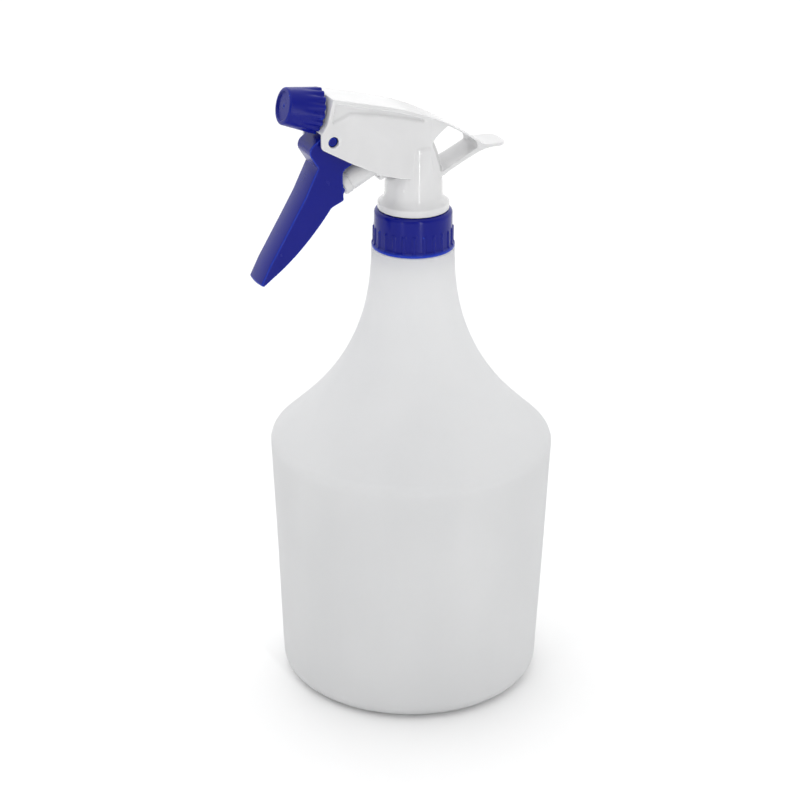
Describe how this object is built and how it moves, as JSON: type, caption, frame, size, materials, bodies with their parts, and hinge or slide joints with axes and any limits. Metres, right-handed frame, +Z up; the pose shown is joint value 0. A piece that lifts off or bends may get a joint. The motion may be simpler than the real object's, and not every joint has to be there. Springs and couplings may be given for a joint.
{
  "type": "trigger spray bottle",
  "caption": "Round plastic spray bottle with a tall neck, ribbed screw closure, piston-pump sprayer head, pull trigger and twist nozzle cap.",
  "frame": {"origin": "centre of the bottle's base, on the surface it stands on", "axes": "+Z up along the bottle; the nozzle sprays towards -X; the whole object is symmetric about the plane y = 0"},
  "size_m": [0.121, 0.1122, 0.2502],
  "materials": {
    "natural_hdpe": "satin, milky translucent",
    "blue_plastic": "semi-gloss moulded",
    "white_plastic": "gloss moulded",
    "gasket_foam": "matte",
    "tube_plastic": "satin, translucent",
    "seal_rubber": "matte",
    "stainless_steel": "drawn wire and polished ball"
  },
  "bodies": {
    "bottle": {"bottle": "natural_hdpe"},
    "head": {"sprayer_body": "white_plastic", "pump_cylinder": "white_plastic", "tube_retainer": "white_plastic", "dip_tube": "tube_plastic", "neck_gasket": "gasket_foam", "nozzle_base": "white_plastic", "spinner": "white_plastic", "return_spring": "stainless_steel", "outlet_spring": "stainless_steel"},
    "closure": {"closure": "blue_plastic"},
    "trigger": {"trigger": "blue_plastic"},
    "piston": {"piston": "white_plastic", "piston_seal": "seal_rubber", "vent_seal": "seal_rubber"},
    "cap_washer": {"nozzle_seal": "seal_rubber"},
    "nozzle_cap": {"nozzle_cap": "blue_plastic"},
    "inlet_ball": {"inlet_ball": "stainless_steel"},
    "outlet_valve": {"outlet_valve": "white_plastic"}
  },
  "joints": [
    {"name": "head_lift", "type": "slide", "parent": "bottle", "child": "head", "axis": [0, 0, 1], "range_m": [0, 0.00423]},
    {"name": "closure_turn", "type": "hinge", "parent": "head", "child": "closure", "pos_m": [0, 0, 0.19], "axis": [0, 0, 1], "range_deg": [0, 360]},
    {"name": "trigger_pull", "type": "hinge", "parent": "head", "child": "trigger", "pos_m": [-0.0369, 0, 0.2306], "axis": [0, -1, 0], "range_deg": [0, 20]},
    {"name": "piston_stroke", "type": "slide", "parent": "head", "child": "piston", "axis": [0.8829, 0, 0.4695], "range_m": [0, 0.00733], "stiffness_N_per_m": 500, "springref_m": -0.012, "deforming": ["return_spring"]},
    {"name": "nozzle_advance", "type": "slide", "parent": "head", "child": "cap_washer", "axis": [-0.9715, 0, 0.2368], "range_m": [0, 0.0025]},
    {"name": "nozzle_turn", "type": "hinge", "parent": "cap_washer", "child": "nozzle_cap", "pos_m": [-0.0397, 0, 0.2405], "axis": [-0.9715, 0, 0.2368], "range_deg": [0, 360]},
    {"name": "inlet_ball_lift", "type": "slide", "parent": "head", "child": "inlet_ball", "axis": [0, 0, 1], "range_m": [0, 0.0012]},
    {"name": "outlet_valve_open", "type": "slide", "parent": "head", "child": "outlet_valve", "axis": [-0.9715, 0, 0.2368], "range_m": [0, 0.0008], "stiffness_N_per_m": 20, "springref_m": -0.001, "deforming": ["outlet_spring"]}
  ],
  "couplings": [
    {"joint": "closure_turn", "follows": "head_lift", "rad_per_m": 1485.4},
    {"joint": "trigger_pull", "follows": "piston_stroke", "rad_per_m": 47.619},
    {"joint": "nozzle_turn", "follows": "nozzle_advance", "rad_per_m": 2513.3}
  ]
}
